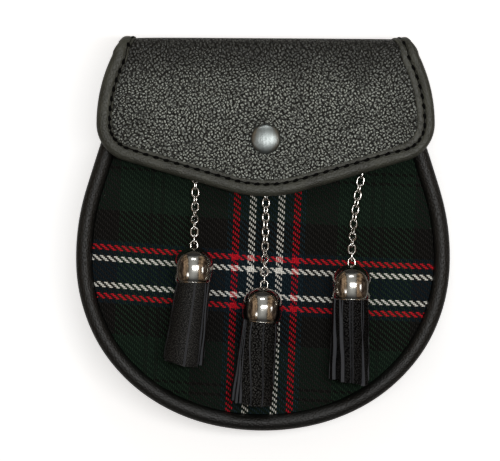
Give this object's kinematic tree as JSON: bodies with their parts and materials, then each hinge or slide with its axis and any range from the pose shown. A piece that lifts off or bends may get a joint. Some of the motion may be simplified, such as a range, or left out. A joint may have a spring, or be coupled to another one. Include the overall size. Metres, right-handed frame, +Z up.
{
  "type": "sporran pouch",
  "caption": "Rounded leather day sporran lying on its back: tartan front panel, snapped flap with bound edge, chain-hung leather tassels with metal caps, and belt loops on the back.",
  "frame": {"origin": "on the surface under the middle of the object's box, as it lies on its back", "axes": "+Z up out of the front, +Y towards the flap's fold at the top, +X to the wearer's left, which is the right when looking at the front"},
  "size_m": [0.19, 0.2, 0.0573],
  "materials": {
    "smooth_leather": "smooth black leather with a soft sheen",
    "grained_leather": "pebble-grained black leather",
    "strip_leather": "matt black leather strips with grey cut edges",
    "tartan_cloth": "woven wool tartan in dark green, navy and black with red and white lines",
    "chrome": "polished",
    "pewter": "satin gunmetal"
  },
  "bodies": {
    "root": {"back_panel": "smooth_leather", "back_binding": "smooth_leather", "gusset": "smooth_leather", "front_panel": "tartan_cloth", "front_binding": "smooth_leather", "flap": "grained_leather", "flap_binding": "smooth_leather", "snap_cap": "pewter", "snap_socket": "pewter", "snap_stud": "pewter", "belt_loop_left": "smooth_leather", "belt_loop_right": "smooth_leather", "chain_staple_left": "chrome", "chain_staple_centre": "chrome", "chain_staple_right": "chrome", "tassel_chain_left": "chrome", "tassel_chain_centre": "chrome", "tassel_chain_right": "chrome", "tassel_cap_left": "chrome", "tassel_cap_centre": "chrome", "tassel_cap_right": "chrome", "tassel_strips_left": "strip_leather", "tassel_strips_centre": "strip_leather", "tassel_strips_right": "strip_leather"}
  },
  "joints": []
}
